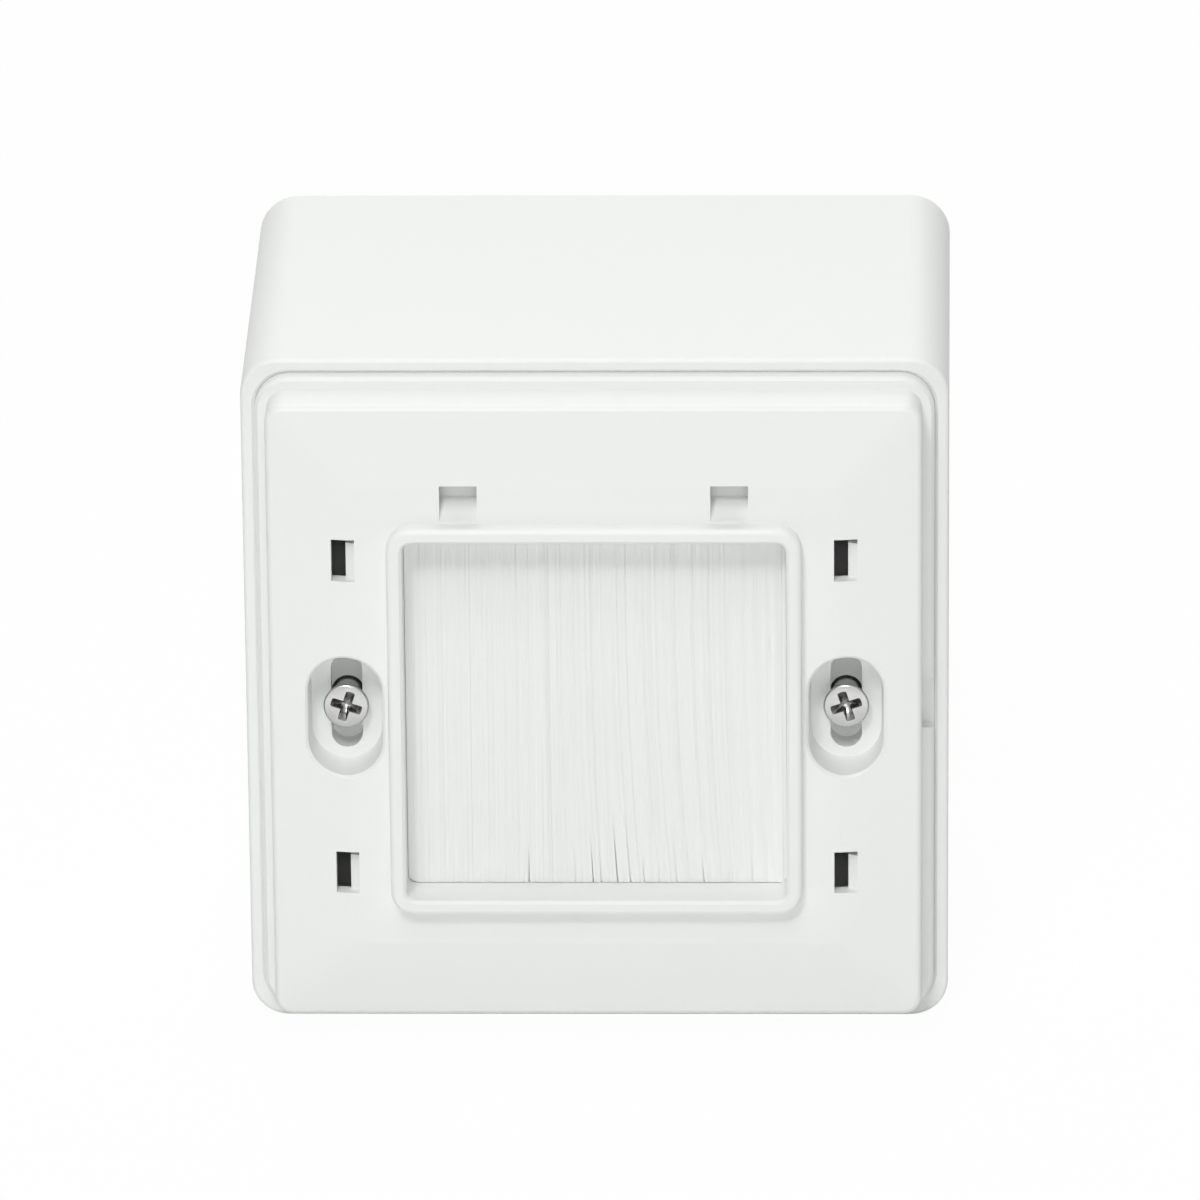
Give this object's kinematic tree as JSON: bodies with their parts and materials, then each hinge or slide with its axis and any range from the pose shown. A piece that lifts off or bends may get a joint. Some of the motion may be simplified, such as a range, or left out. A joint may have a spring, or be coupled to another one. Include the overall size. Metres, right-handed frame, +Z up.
{
  "type": "brush wall plate",
  "caption": "Square white surface box whose screwed-on plate has a raised rim round a brush-filled opening that cables pass through.",
  "frame": {"origin": "centre of the box's wall face", "axes": "+Z up the wall, +Y into the wall, so the plate faces -Y, +X to the right as seen from the front"},
  "size_m": [0.086, 0.0712, 0.086],
  "materials": {
    "box_plastic": "satin moulded white plastic",
    "plate_plastic": "satin moulded white plastic",
    "channel_metal": "folded mill-finish sheet",
    "wire_steel": "drawn wire",
    "bristle_nylon": "fine white nylon filaments",
    "screw_plating": "bright nickel plating",
    "nut_steel": "zinc-plated steel"
  },
  "bodies": {
    "root": {"back_box": "box_plastic", "mounting_plate": "plate_plastic", "brush_channel": "channel_metal", "core_wire": "wire_steel", "bristles": "bristle_nylon", "fixing_screws": "screw_plating", "captive_nuts": "nut_steel"}
  },
  "joints": []
}
